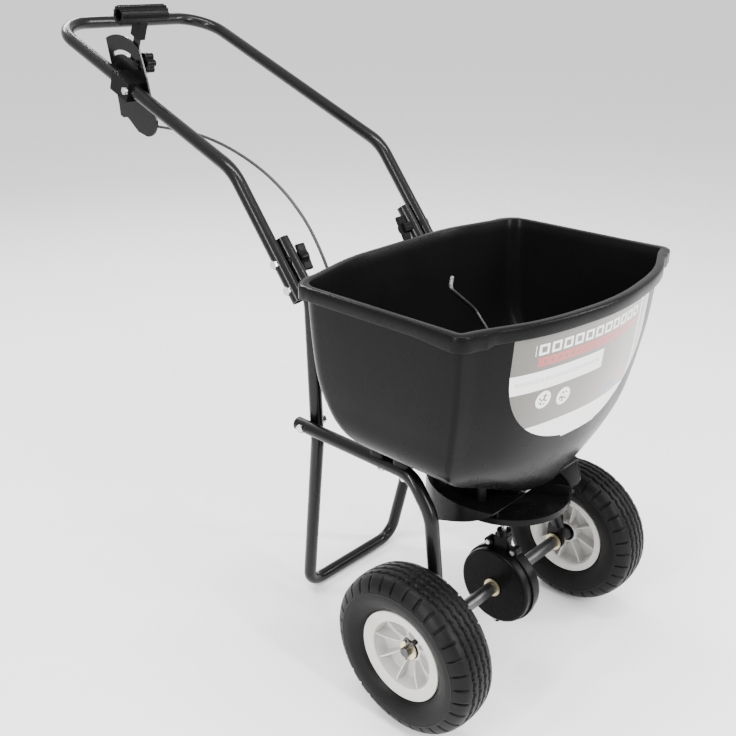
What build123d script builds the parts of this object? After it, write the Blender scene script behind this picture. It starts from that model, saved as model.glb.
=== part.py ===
"""Walk-behind broadcast spreader: hopper, spinner, axle-driven gearbox, frame, handle and shut-off control.

Units are millimetres. X runs along the axle (+X is the operator's left), +Y points aft to the operator,
+Z points up. The origin is on the ground, under the middle of the machine's footprint.
"""
from build123d import *
from math import atan2, cos, degrees, pi, radians, sin
import os

os.makedirs("parts", exist_ok=True)

# ---------------------------------------------------------------- driving dimensions
AXLE_Y = -385.5            # the axle's station, ahead of the footprint's middle
AXLE_Z = 130.0             # wheel radius: tyres stand on the ground
TUBE_R = 11.0              # frame and handle tube, outer radius
TUBE_WALL = 1.5
FIT = 0.05                 # radial running clearance
GAP = 0.3                  # clearance between neighbours that only pass each other

TRACK = 444.0              # between the wheels' middle planes
TYRE_HALF = 41.0
BEAD_R = 64.0              # where the tyre's bead sits
RIM_HALF = 30.5
HUB_R = 19.0
HUB_LONG = 28.0
HUB_MID = -8.0             # the hub sits inboard of the wheel's middle plane
BUSH_R = 12.0
VALVE_RING = 40.0          # valve stem, from the wheel's axis
VALVE_TURN = 123.0         # degrees up from aft
AXLE_R = 8.0
AXLE_HALF = 242.0          # half of the axle's length
LEG_X = 165.0              # frame tubes, where they meet the axle
STAND_X = 142.5            # stand tubes, beside the handle's arms
ARM_X = 168.0              # handle arms
FOOT_X = 112.0             # half width of the stand's foot

GEAR_TEETH = 36            # crown gear on the axle
PINION_TEETH = 9           # pinion on the spinner shaft
GEAR_MODULE = 2.0
SHAFT_R = 4.0
BOX_R = 65.0               # gearbox housing
BOX_HALF = 20.0
BOX_WALL = 3.0

RIM_Z = 663.0              # top of the hopper
FLOOR_Z = 345.0            # underside of the hopper's floor
HOPPER_WALL = 4.0
GATE_Z = 340.5
GATE_T = 3.0
GATE_TRAVEL = 31.4
GATE_TAB = 124.0           # the gate's tab stays aft of the bowl over the whole travel
ROOF_Z = 333.0             # top plate of the spinner's shroud
SHROUD_R = 128.0
SPINNER_R = 100.0
SPINNER_Z = 308.0

JOINT_Y = 328.0            # upper bolt between handle and stand, aft of the axle
JOINT_Z = 644.0
LOWER_SLOPE = 51.3         # degrees, the handle's lower run
BEND_Y = 430.0             # handle's knee, aft of the axle
BEND_Z = 772.0
BAR_Y = 925.0              # push bar, aft of the axle
BAR_Z = 967.0

PIVOT_Y = 735.0            # lever pivot, aft of the axle
PIVOT_Z = 862.0
LEVER_ANGLE = 26.4         # degrees forward of upright
LEVER_LONG = 144.0         # pivot to the grip's axis
LEVER_SHORT = 40.0         # pivot to the cable's eye
STOP_ANGLE = 40.5
SLOT_R = 67.0
PLATE_X = -152.0           # outboard face of the control plate
PLATE_T = 3.0
CLAMP_OUT = -183.0         # outboard face of the clamp

COTTER_X = 236.0
COTTER_R = 1.6
LEG_BUSH_R = 10.5          # bush in the frame tube's flattened end
EAR_R = 8.0                # bolt ears round the gearbox
EAR_HALF = 7.0
BOX_BOLT_R = 2.5
BOX_BUSH_R = 13.6
WASHER_R = 15.0
SHAFT_FOOT = 150.0
SHAFT_TOP = 432.0
PIN_R = 2.0
WIRE_R = 3.0
SCREW_R = 2.0
HOPPER_BOLT_R = 3.0
HAND_BOLT_R = 4.0
SKIRT = 19.0               # depth of the hopper's down-turned rim
PORT_R = 11.0              # metering holes in the hopper's floor
FLOOR_BUSH_R = 9.0
RUN_Z = 378.0              # the frame tubes' level run under the hopper
FOOT_Z = RUN_Z + TUBE_R + GAP
CABLE_R = 2.5
CABLE_BORE = 1.2           # hole for the inner wire in each stop
CABLE_END_X = -14.0        # where the cable meets the gate's tab
CABLE_END_Z = 350.0
SHROUD_FOOT = 268.0
SHROUD_FRONT = -56.0       # the shroud is open ahead of this station
RIGHT_EDGE = ((SHROUD_FRONT, 334), (-40, 323), (-20, 313), (0, 305), (20, 297), (40, 288), (60, 279),
              (84, 265))   # edge of the shroud's mouth, right side: station aft and height
LEFT_EDGE = ((SHROUD_FRONT, 334), (-60, 322), (-68, 308), (-62, 292), (-52, 280), (-54, 265))
LEG_BOLT_Y = 284.0         # bolt between frame tube and stand
HAND_BOLTS = (0.0, -45.0)  # along the handle's lower run
KNOB_X = STAND_X - TUBE_R
KNOB_TURN = 60.0
CLAMP_Y = 703.0            # clamp on the right arm, aft of the axle
CLAMP_STATIONS = (684.0, 704.0)
SLOT_FROM = -22.0
SLOT_TO = 53.0
LEVER_X = -148.7
LEVER_T = 3.0
LEVER_BAR = 128.0          # the flat bar's reach above the pivot
GRIP_R = 13.5
GRIP_LONG = 88.0


# ---------------------------------------------------------------- frames of reference
def aft(distance):
    """A station measured aft of the axle."""
    return AXLE_Y + distance


def across(y):
    """Upright plane across the machine: local x is +X, local y is up, normal is forward."""
    return Plane(origin=(0, y, 0), x_dir=(1, 0, 0), z_dir=(0, -1, 0))


def along(x):
    """Upright plane along the machine: local x is aft, local y is up, normal is +X."""
    return Plane(origin=(x, 0, 0), x_dir=(0, 1, 0), z_dir=(1, 0, 0))


def level(z):
    """Level plane at a height."""
    return Plane.XY.offset(z)


def spot(y, z):
    """A place on an along() plane, given aft of the axle."""
    return (aft(y), z)


def on_lower_run(distance):
    """Station aft and height at a distance up the handle's lower run from its upper bolt."""
    slope = radians(LOWER_SLOPE)
    return JOINT_Y + distance * cos(slope), JOINT_Z + distance * sin(slope)


def on_lever(distance, turn):
    """Station aft and height at a distance from the lever's pivot, at a turn forward of upright."""
    return PIVOT_Y - distance * sin(radians(turn)), PIVOT_Z + distance * cos(radians(turn))


def on_arm(station):
    """The place on an along() plane where the handle's upper run passes a station."""
    return spot(station, BEND_Z + (station - BEND_Y) * (BAR_Z - BEND_Z) / (BAR_Y - BEND_Y))


HANDED = (("left", 1), ("right", -1))
CLAMP_BOLTS = [on_arm(station) for station in CLAMP_STATIONS]
EARS = [(aft(-24), AXLE_Z + BOX_R + 5), (aft(24), AXLE_Z + BOX_R + 5), (AXLE_Y, AXLE_Z - BOX_R - 5)]
PORTS = [(x, aft(-38)) for x in (-22, 22)]
BOSSES = [(95, aft(-20)), (-95, aft(-20)), (80, aft(80)), (-80, aft(80))]
FEET = [(x, aft(y)) for x in (-LEG_X, LEG_X) for y in (72, 118)]


def finish(builder, name):
    """Label a finished sub-part and write it as its own STEP file."""
    builder.part.label = name
    export_step(builder.part, f"parts/{name}.step")


def run_tube(points, radii, outer_r, wall):
    """A tube swept along straight runs joined by tangent arcs; returns the builder."""
    with BuildPart() as tube:
        with BuildLine() as path:
            FilletPolyline(*points, radius=radii)
        start = path.line @ 0
        heading = path.line % 0
        with BuildSketch(Plane(origin=start, z_dir=heading)):
            Circle(outer_r)
            if wall:
                Circle(outer_r - wall, mode=Mode.SUBTRACT)
        sweep(path=path.line)
    return tube


def cross_bolt(x_head, x_tip, place, shank_r, head_r, head_t):
    """A bolt along X, head first: a hexagon head and a plain shank."""
    toward = 1 if x_tip > x_head else -1
    with BuildPart() as bolt:
        with BuildSketch(along(x_head)):
            with Locations(place):
                RegularPolygon(head_r, 6)
        extrude(amount=toward * head_t)
        with BuildSketch(along(x_head)):
            with Locations(place):
                Circle(shank_r)
        extrude(amount=x_tip - x_head)
    return bolt.part


def cross_nut(x, place, shank_r, nut_r, nut_t):
    """A hexagon nut along X, from its seat; nut_t is signed."""
    with BuildPart() as nut:
        with BuildSketch(along(x)):
            with Locations(place):
                RegularPolygon(nut_r, 6)
                Circle(shank_r, mode=Mode.SUBTRACT)
        extrude(amount=nut_t)
    return nut.part


# ---------------------------------------------------------------- wheels
def make_tyre(name, side):
    """Casing of a pneumatic tyre: a C section, open to the rim, with tread grooves."""
    mid = side * TRACK / 2
    with BuildPart() as tyre:
        with BuildSketch(across(AXLE_Y)):
            with BuildLine():
                Polyline((mid - 26, AXLE_Z + BEAD_R), (mid - 26, AXLE_Z + 73),
                         (mid - 32, AXLE_Z + 78), (mid - TYRE_HALF, AXLE_Z + 99))
                ThreePointArc((mid - TYRE_HALF, AXLE_Z + 99), (mid - 37, AXLE_Z + 119),
                              (mid - 24, AXLE_Z + 128.4))
                ThreePointArc((mid - 24, AXLE_Z + 128.4), (mid, AXLE_Z + 130),
                              (mid + 24, AXLE_Z + 128.4))
                ThreePointArc((mid + 24, AXLE_Z + 128.4), (mid + 37, AXLE_Z + 119),
                              (mid + TYRE_HALF, AXLE_Z + 99))
                Polyline((mid + TYRE_HALF, AXLE_Z + 99), (mid + 32, AXLE_Z + 78),
                         (mid + 26, AXLE_Z + 73), (mid + 26, AXLE_Z + BEAD_R),
                         (mid + 19, AXLE_Z + BEAD_R),
                         (mid + 23, AXLE_Z + 76), (mid + 34, AXLE_Z + 98))
                ThreePointArc((mid + 34, AXLE_Z + 98), (mid, AXLE_Z + 120), (mid - 34, AXLE_Z + 98))
                Polyline((mid - 34, AXLE_Z + 98), (mid - 23, AXLE_Z + 76),
                         (mid - 19, AXLE_Z + BEAD_R), (mid - 26, AXLE_Z + BEAD_R))
            make_face()
            with Locations([(mid + offset, AXLE_Z + 130) for offset in (-16, 0, 16)]):
                Rectangle(4, 7, mode=Mode.SUBTRACT)
        revolve(axis=Axis((0, AXLE_Y, AXLE_Z), (1, 0, 0)))
    finish(tyre, name)


def make_inner_tube(name, side):
    """The air tube inside the casing, a closed ring."""
    with BuildPart() as air:
        with BuildSketch(across(AXLE_Y)):
            with Locations((side * TRACK / 2, AXLE_Z + 92)):
                Ellipse(17, 18)
                Ellipse(15, 16, mode=Mode.SUBTRACT)
        revolve(axis=Axis((0, AXLE_Y, AXLE_Z), (1, 0, 0)))
    finish(air, name)


def make_rim(name, side):
    """Moulded rim: barrel with two flanges, a middle web, a hub and ribs on both faces."""
    mid = side * TRACK / 2
    spin = Axis((0, AXLE_Y, AXLE_Z), (1, 0, 0))
    barrel_in = BEAD_R - 6
    with BuildPart() as rim:
        with BuildSketch(across(AXLE_Y)):
            with Locations((mid, AXLE_Z + BEAD_R - 3)):
                Rectangle(2 * RIM_HALF, 6)
            with Locations((mid - 28.5, AXLE_Z + 66), (mid + 28.5, AXLE_Z + 66)):
                Rectangle(4, 13)
            with Locations((mid, AXLE_Z + 40)):
                Rectangle(5, 44)
            with Locations((mid + side * HUB_MID, AXLE_Z + (HUB_R + BUSH_R) / 2)):
                Rectangle(HUB_LONG, HUB_R - BUSH_R)
        revolve(axis=spin)
        with BuildSketch(Plane(origin=(mid - side * 20, AXLE_Y, AXLE_Z), x_dir=(0, 1, 0), z_dir=(1, 0, 0))):
            with PolarLocations(0, 8, start_angle=11):
                with Locations(((HUB_R + barrel_in) / 2, 0)):
                    Rectangle(barrel_in - HUB_R + 2, 3)
        extrude(amount=side * 26)
        with BuildSketch(Plane(origin=(mid, AXLE_Y, AXLE_Z), x_dir=(0, 1, 0), z_dir=(1, 0, 0))):
            with PolarLocations(VALVE_RING, 1, start_angle=VALVE_TURN):
                Circle(4.0 + GAP / 2)
        extrude(amount=-10, both=True, mode=Mode.SUBTRACT)
    finish(rim, name)


def make_valve(name, side):
    """Rubber valve stem standing out of the rim's outer face, with its cap."""
    mid = side * TRACK / 2
    turn = radians(VALVE_TURN)
    seat = Plane(origin=(mid, AXLE_Y + VALVE_RING * cos(turn), AXLE_Z + VALVE_RING * sin(turn)),
                 z_dir=(side, 0, 0))
    with BuildPart() as valve:
        with BuildSketch(seat.offset(-2)):
            Circle(4.0)
        extrude(amount=14)
        with BuildSketch(seat.offset(12)):
            Circle(3.0)
        extrude(amount=8)
        with BuildSketch(seat.offset(20)):
            Circle(4.2)
        extrude(amount=9)
        chamfer(valve.faces().sort_by(Axis.X)[-1 if side > 0 else 0].edges(), 1)
    finish(valve, name)


def make_hub_bushes(name, side):
    """Two flanged nylon bushes pressed in the hub, one from each face."""
    mid = side * TRACK / 2
    with BuildPart() as bushes:
        for face in (-1, 1):
            hub_face = mid + side * HUB_MID + face * HUB_LONG / 2
            with BuildSketch(Plane(origin=(hub_face, AXLE_Y, AXLE_Z), z_dir=(face, 0, 0))):
                Circle(BUSH_R + 4)
            extrude(amount=2)
            with BuildSketch(Plane(origin=(hub_face, AXLE_Y, AXLE_Z), z_dir=(face, 0, 0))):
                Circle(BUSH_R)
            extrude(amount=-11)
        with BuildSketch(along(mid - 30)):
            with Locations((AXLE_Y, AXLE_Z)):
                Circle(AXLE_R + FIT)
        extrude(amount=60, mode=Mode.SUBTRACT)
    finish(bushes, name)


def make_cotter(name, side, x):
    """Split pin through the axle, bent over: an eye, a shank and two legs."""
    with BuildPart() as cotter:
        with BuildSketch(level(AXLE_Z - 15)):
            with Locations((side * x, AXLE_Y)):
                Circle(COTTER_R)
        extrude(amount=32)
        with BuildSketch(along(side * x - 1.2)):
            with Locations((AXLE_Y, AXLE_Z + 20)):
                Circle(5)
                Circle(2.4, mode=Mode.SUBTRACT)
        extrude(amount=2.4)
    finish(cotter, name)


# ---------------------------------------------------------------- axle line
def axle_ring(start, end, outer_r, bore_r):
    """A washer or sleeve round the axle between two stations along X."""
    with BuildPart() as ring:
        with BuildSketch(along(start)):
            with Locations((AXLE_Y, AXLE_Z)):
                Circle(outer_r)
                Circle(bore_r, mode=Mode.SUBTRACT)
        extrude(amount=end - start)
    return ring.part


def make_axle():
    """Solid axle with cross holes for the split pins and for the crown gear's pin."""
    with BuildPart() as axle:
        with BuildSketch(along(-AXLE_HALF)):
            with Locations((AXLE_Y, AXLE_Z)):
                Circle(AXLE_R)
        extrude(amount=2 * AXLE_HALF)
        chamfer(axle.faces().sort_by(Axis.X)[0].edges(), 1)
        chamfer(axle.faces().sort_by(Axis.X)[-1].edges(), 1)
        with BuildSketch(level(AXLE_Z)):
            with Locations((-COTTER_X, AXLE_Y), (COTTER_X, AXLE_Y)):
                Circle(COTTER_R)
        extrude(amount=AXLE_R, both=True, mode=Mode.SUBTRACT)
    finish(axle, "axle")


def make_sleeves():
    """Spacer sleeves that hold the gearbox midway and the wheels off the frame."""
    with BuildPart() as sleeves:
        for side in (-1, 1):
            for start, end, outer_r in ((25, 156, 10.5), (173.8, 197, 12)):
                add(axle_ring(side * start, side * end, outer_r, AXLE_R))
    finish(sleeves, "axle_sleeves")


def make_washers():
    """Plated washers: beside the gearbox, both sides of each frame tube and under each split pin."""
    with BuildPart() as washers:
        for side in (-1, 1):
            for start, end in ((22.6, 24.6), (156.3, 157.9), (171.9, 173.5), (231, 233)):
                add(axle_ring(side * start, side * end, WASHER_R, AXLE_R))
    finish(washers, "axle_washers")


def make_axle_bushes():
    """Flanged nylon bushes in the frame tubes' flattened ends, where the axle turns."""
    with BuildPart() as bushes:
        for side in (-1, 1):
            for start, end, outer_r in ((-6, 6, LEG_BUSH_R), (4, 6.5, 14.5), (-6.5, -4, 14.5)):
                add(axle_ring(side * LEG_X + start, side * LEG_X + end, outer_r, AXLE_R + FIT))
    finish(bushes, "axle_bushes")


# ---------------------------------------------------------------- gearbox
def make_crown_gear():
    """Face gear on the axle: a disc whose teeth stand towards the pinion."""
    pitch_r = GEAR_MODULE * GEAR_TEETH / 2
    mesh_x = GEAR_MODULE * PINION_TEETH / 2
    root_x = mesh_x + 2.4
    tip_x = mesh_x - 1.8
    tooth = GEAR_MODULE * pi * 0.29
    with BuildPart() as crown:
        add(axle_ring(root_x, root_x + 4.5, pitch_r + 5, AXLE_R))
        add(axle_ring(GAP, root_x, 13.0, AXLE_R))
        with BuildSketch(along(tip_x)):
            with Locations((AXLE_Y, AXLE_Z)):
                with PolarLocations(pitch_r, GEAR_TEETH, start_angle=90):
                    Rectangle(6, tooth)
        extrude(amount=root_x - tip_x + 1)
    finish(crown, "crown_gear")


def make_pinion():
    """Small spur pinion on the spinner shaft; a tooth space faces the crown gear at rest."""
    pitch_r = GEAR_MODULE * PINION_TEETH / 2
    pitch_height = GEAR_MODULE * GEAR_TEETH / 2
    with BuildPart() as pinion:
        with BuildSketch(level(AXLE_Z + pitch_height - 5)):
            with Locations((0, AXLE_Y)):
                Circle(pitch_r - 2.5)
                with PolarLocations(pitch_r - 0.7, PINION_TEETH, start_angle=180 / PINION_TEETH):
                    Trapezoid(3.0, 4.0, 80, rotation=-90)
                Circle(SHAFT_R, mode=Mode.SUBTRACT)
        extrude(amount=10)
        with BuildSketch(level(AXLE_Z + pitch_height + 5)):
            with Locations((0, AXLE_Y)):
                Circle(7)
                Circle(SHAFT_R, mode=Mode.SUBTRACT)
        extrude(amount=8)
    finish(pinion, "pinion_gear")


def make_gearbox_shell(name, side):
    """One half of the round housing: a dish round the axle, half of the shaft's neck and three ears."""
    with BuildPart() as shell:
        with BuildSketch(along(0)):
            with Locations((AXLE_Y, AXLE_Z)):
                Circle(BOX_R)
        extrude(amount=side * BOX_HALF)
        rim_edges = shell.edges().filter_by(GeomType.CIRCLE).sort_by(Axis.X)
        fillet(rim_edges[-1 if side > 0 else 0], 5)
        with BuildSketch(along(0)):
            with Locations((AXLE_Y, AXLE_Z + BOX_R - 2)):
                Rectangle(24, 30, align=(Align.CENTER, Align.MIN))
            with Locations(*EARS):
                Circle(EAR_R)
        extrude(amount=side * EAR_HALF)
        with BuildSketch(along(0)):
            with Locations((AXLE_Y, AXLE_Z)):
                Circle(BOX_R + 3)
                Circle(BOX_R - 4, mode=Mode.SUBTRACT)
        extrude(amount=side * 4)
        with BuildSketch(level(AXLE_Z + BOX_R + 26)):
            with Locations((0, AXLE_Y)):
                Circle(11.5)
        extrude(amount=9)
        with BuildSketch(along(0)):
            with Locations((AXLE_Y, AXLE_Z)):
                Circle(BOX_R - 4)
        extrude(amount=side * (BOX_HALF - BOX_WALL), mode=Mode.SUBTRACT)
        with BuildSketch(along(0)):
            with Locations((AXLE_Y, AXLE_Z)):
                Circle(BOX_BUSH_R)
        extrude(amount=side * (BOX_HALF + 1), mode=Mode.SUBTRACT)
        with BuildSketch(level(AXLE_Z + 40)):
            with Locations((0, AXLE_Y)):
                Circle(SHAFT_R + FIT)
        extrude(amount=80, mode=Mode.SUBTRACT)
        with BuildSketch(along(-30)):
            with Locations(*EARS):
                Circle(BOX_BOLT_R)
        extrude(amount=60, mode=Mode.SUBTRACT)
        split(bisect_by=Plane.YZ, keep=Keep.TOP if side > 0 else Keep.BOTTOM)
    finish(shell, name)


def make_gearbox_bushes():
    """Bushes that close the gearbox's sides round the axle."""
    with BuildPart() as bushes:
        for side in (-1, 1):
            inner = side * (BOX_HALF - BOX_WALL)
            add(axle_ring(inner, inner + side * 5, BOX_BUSH_R, AXLE_R + FIT))
    finish(bushes, "gearbox_bushes")


def make_gearbox_bolts():
    """Three bolts with nuts that clamp the housing's halves at the ears."""
    with BuildPart() as bolts:
        for ear in EARS:
            add(cross_bolt(-EAR_HALF - 3, EAR_HALF + 5, ear, BOX_BOLT_R, 4.2, 3))
            add(cross_nut(EAR_HALF, ear, 0.5 * BOX_BOLT_R, 4.2, 3.5))
    finish(bolts, "gearbox_bolts")


# ---------------------------------------------------------------- spinner line
def make_shaft():
    """Upright spinner shaft, from the pinion to the stirrer inside the hopper."""
    with BuildPart() as shaft:
        with BuildSketch(level(SHAFT_FOOT)):
            with Locations((0, AXLE_Y)):
                Circle(SHAFT_R)
        extrude(amount=SHAFT_TOP - SHAFT_FOOT)
        with BuildSketch(across(AXLE_Y)):
            with Locations((0, SPINNER_Z + 12)):
                Circle(PIN_R)
        extrude(amount=SHAFT_R, both=True, mode=Mode.SUBTRACT)
        with BuildSketch(along(0)):
            with Locations((AXLE_Y, SHAFT_TOP - 8)):
                Circle(WIRE_R)
        extrude(amount=SHAFT_R, both=True, mode=Mode.SUBTRACT)
    finish(shaft, "spinner_shaft")


def make_spinner():
    """Throwing disc: a plate with a down-turned lip, a hub and four curved vanes."""
    with BuildPart() as spinner:
        with BuildSketch(level(SPINNER_Z)):
            with Locations((0, AXLE_Y)):
                Circle(SPINNER_R)
        extrude(amount=3)
        with BuildSketch(level(SPINNER_Z)):
            with Locations((0, AXLE_Y)):
                Circle(SPINNER_R)
                Circle(SPINNER_R - 3, mode=Mode.SUBTRACT)
        extrude(amount=-7)
        with BuildSketch(level(SPINNER_Z - 10)):
            with Locations((0, AXLE_Y)):
                Circle(14)
        extrude(amount=30)
        with BuildSketch(level(SPINNER_Z + 2)):
            with Locations((0, AXLE_Y)):
                with PolarLocations(0, 4, start_angle=20):
                    with Locations((54, 6)):
                        Rectangle(84, 3, rotation=8)
        extrude(amount=16)
        with BuildSketch(level(SPINNER_Z - 20)):
            with Locations((0, AXLE_Y)):
                Circle(SHAFT_R)
        extrude(amount=60, mode=Mode.SUBTRACT)
        with BuildSketch(across(AXLE_Y)):
            with Locations((0, SPINNER_Z + 12)):
                Circle(PIN_R)
        extrude(amount=16, both=True, mode=Mode.SUBTRACT)
    finish(spinner, "spinner")


def make_spinner_pin():
    """Roll pin through the spinner's hub and the shaft."""
    with BuildPart() as pin:
        with BuildSketch(across(AXLE_Y)):
            with Locations((0, SPINNER_Z + 12)):
                Circle(PIN_R)
        extrude(amount=14, both=True)
    finish(pin, "spinner_pin")


def make_stirrer():
    """Bent wire through the shaft's top that keeps the load moving, with a hooked end."""
    foot_z = SHAFT_TOP - 8
    route = [(16, AXLE_Y, foot_z), (-26, AXLE_Y, foot_z), (-14, aft(34), 556), (-30, aft(58), 600),
             (-84, aft(62), 644), (-70, aft(70), 656)]
    stirrer = run_tube(route, [12, 30, 24, 6], WIRE_R, 0)
    finish(stirrer, "stirrer")


# ---------------------------------------------------------------- hopper
def ring_points(side_x, nose, shoulder, flank, tail, bow, back):
    """Plan outline of the hopper at one level, in order round it, given as stations aft of the axle.

    nose: the front's middle, shoulder: the front of the flat side, flank: its rear,
    tail: the flat back; bow and back: half widths where the front and the back turn."""
    half = [(0, nose), (bow, nose + 0.30 * (shoulder - nose)), (side_x * 0.90, shoulder - 8),
            (side_x, shoulder), (side_x, flank), (back, tail)]
    right = [(x, aft(y)) for x, y in half]
    left = [(-x, y) for x, y in reversed(right) if x]
    return right + left


def inset(points, wall):
    """The same outline moved in by the wall's thickness along X and Y."""
    y_mid = aft(20)
    moved = []
    for x, y in points:
        step_x = 0 if x == 0 else wall * (1 if x > 0 else -1)
        step_y = wall * (1 if y > y_mid else -1)
        moved.append((x - step_x, y - step_y))
    return moved


HOPPER_LEVELS = (
    # height, side, nose, shoulder, flank, tail, bow, back
    (FLOOR_Z, 58, -72, -40, 40, 72, 40, 40),
    (358, 84, -84, -44, 60, 92, 56, 52),
    (392, 150, -102, -52, 92, 124, 96, 80),
    (422, 208, -116, -58, 118, 148, 118, 96),
    (452, 238, -126, -66, 142, 172, 128, 106),
    (500, 245, -138, -74, 172, 196, 134, 114),
    (560, 249, -148, -82, 184, 213, 138, 112),
    (RIM_Z, 253, -156, -88, 190, 226, 142, 114),
)


def make_hopper():
    """Moulded bowl: flat upright sides, a bowed front, a rounded bottom, a turned-down rim and feet."""
    with BuildPart() as hopper:
        for height, *plan in HOPPER_LEVELS:
            with BuildSketch(level(height)):
                Polygon(*ring_points(*plan), align=None)
        loft(ruled=True)
        top = ring_points(*HOPPER_LEVELS[-1][1:])
        with BuildSketch(level(RIM_Z - 4)):
            Polygon(*inset(top, -9), align=None)
        extrude(amount=4)
        with BuildSketch(level(RIM_Z - SKIRT)):
            Polygon(*inset(top, -9), align=None)
            Polygon(*inset(top, -6), align=None, mode=Mode.SUBTRACT)
        extrude(amount=SKIRT)
        with BuildSketch(level(ROOF_Z + 3)):
            with Locations(*BOSSES):
                Circle(7)
        extrude(amount=60)
        with BuildSketch(level(FOOT_Z)):
            with Locations(*FEET):
                Rectangle(26, 26)
        extrude(amount=40)
    with BuildPart() as cavity:
        for height, *plan in HOPPER_LEVELS:
            lift = HOPPER_WALL if height == FLOOR_Z else 0
            top_lift = 1 if height == RIM_Z else 0
            with BuildSketch(level(height + lift + top_lift)):
                Polygon(*inset(ring_points(*plan), HOPPER_WALL), align=None)
        loft(ruled=True)
    with BuildPart() as bowl:
        add(hopper.part)
        add(cavity.part, mode=Mode.SUBTRACT)
        with BuildSketch(level(FLOOR_Z - 1)):
            with Locations(*PORTS):
                Circle(PORT_R)
            with Locations((0, AXLE_Y)):
                Circle(FLOOR_BUSH_R)
        extrude(amount=8, mode=Mode.SUBTRACT)
        with BuildSketch(level(ROOF_Z)):
            with Locations(*BOSSES):
                Circle(SCREW_R)
        extrude(amount=18, mode=Mode.SUBTRACT)
        with BuildSketch(level(FOOT_Z - 1)):
            with Locations(*FEET):
                Circle(HOPPER_BOLT_R)
        extrude(amount=14, mode=Mode.SUBTRACT)
    finish(bowl, "hopper")


def make_floor_bush():
    """Flanged bush in the hopper's floor that steadies the spinner shaft."""
    with BuildPart() as bush:
        with BuildSketch(level(FLOOR_Z)):
            with Locations((0, AXLE_Y)):
                Circle(FLOOR_BUSH_R)
        extrude(amount=HOPPER_WALL)
        with BuildSketch(level(FLOOR_Z + HOPPER_WALL)):
            with Locations((0, AXLE_Y)):
                Circle(FLOOR_BUSH_R + 4)
        extrude(amount=2)
        with BuildSketch(level(FLOOR_Z - 1)):
            with Locations((0, AXLE_Y)):
                Circle(SHAFT_R + FIT)
        extrude(amount=9, mode=Mode.SUBTRACT)
    finish(bush, "floor_bush")


def make_gate():
    """Shut-off gate: a sliding plate with two ports, a slot for the shaft and a tab for the cable."""
    with BuildPart() as gate:
        with BuildSketch(level(GATE_Z)):
            with Locations((0, AXLE_Y)):
                Rectangle(80, 120)
            with Locations((CABLE_END_X, aft(GATE_TAB - 33))):
                Rectangle(24, 66)
            with Locations(*PORTS):
                Circle(PORT_R, mode=Mode.SUBTRACT)
            with Locations((0, aft(GATE_TRAVEL / 2))):
                SlotOverall(GATE_TRAVEL + 12, 11, rotation=90, mode=Mode.SUBTRACT)
        extrude(amount=GATE_T)
        with BuildSketch(across(aft(GATE_TAB))):
            with Locations((CABLE_END_X, GATE_Z)):
                Rectangle(24, 12, align=(Align.CENTER, Align.MIN))
            with Locations((CABLE_END_X, CABLE_END_Z)):
                Circle(1.5, mode=Mode.SUBTRACT)
        extrude(amount=3)
    finish(gate, "gate")


def make_gate_guides():
    """Two rails under the hopper's floor that carry the gate."""
    with BuildPart() as guides:
        for side in (-1, 1):
            with BuildSketch(across(aft(-52))):
                with Locations((side * 42.6, FLOOR_Z - 8)):
                    Rectangle(4, 8, align=(Align.CENTER, Align.MIN))
                with Locations((side * 40.3, FLOOR_Z - 8)):
                    Rectangle(8.6, 3, align=(Align.CENTER, Align.MIN))
            extrude(amount=-104)
    finish(guides, "gate_guides")


def make_shroud():
    """Spinner shroud: a roof ring under the hopper and a wall round the back, open to the front."""
    with BuildPart() as shroud:
        with BuildSketch(level(SHROUD_FOOT)):
            with Locations((0, AXLE_Y)):
                Circle(SHROUD_R)
                Circle(SHROUD_R - 3, mode=Mode.SUBTRACT)
        extrude(amount=ROOF_Z - SHROUD_FOOT)
        with BuildSketch(level(ROOF_Z)):
            with Locations((0, AXLE_Y)):
                Circle(SHROUD_R)
                Circle(66, mode=Mode.SUBTRACT)
        extrude(amount=3)
        with BuildSketch(level(SHROUD_FOOT)):
            with Locations((0, AXLE_Y)):
                Circle(SHROUD_R + 4)
                Circle(SHROUD_R - 3, mode=Mode.SUBTRACT)
        extrude(amount=4)
        for side, edge in ((-1, RIGHT_EDGE), (1, LEFT_EDGE)):
            with BuildSketch(along(0)):
                with BuildLine():
                    mouth = Spline(*[spot(*place) for place in edge])
                    Polyline(mouth @ 1, spot(-200, SHROUD_FOOT - 3), spot(-200, ROOF_Z + 20),
                             spot(SHROUD_FRONT, ROOF_Z + 20), mouth @ 0)
                make_face()
            extrude(amount=side * 200, mode=Mode.SUBTRACT)
        with BuildSketch(level(ROOF_Z - 1)):
            with Locations(*BOSSES):
                Circle(SCREW_R)
        extrude(amount=6, mode=Mode.SUBTRACT)
    finish(shroud, "shroud")


def make_shroud_screws():
    """Four pan-head screws from below, through the roof into the hopper's bosses."""
    with BuildPart() as screws:
        with BuildSketch(level(ROOF_Z)):
            with Locations(*BOSSES):
                Circle(4.5)
        extrude(amount=-3)
        with BuildSketch(level(ROOF_Z)):
            with Locations(*BOSSES):
                Circle(SCREW_R)
        extrude(amount=14)
    finish(screws, "shroud_screws")


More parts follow.
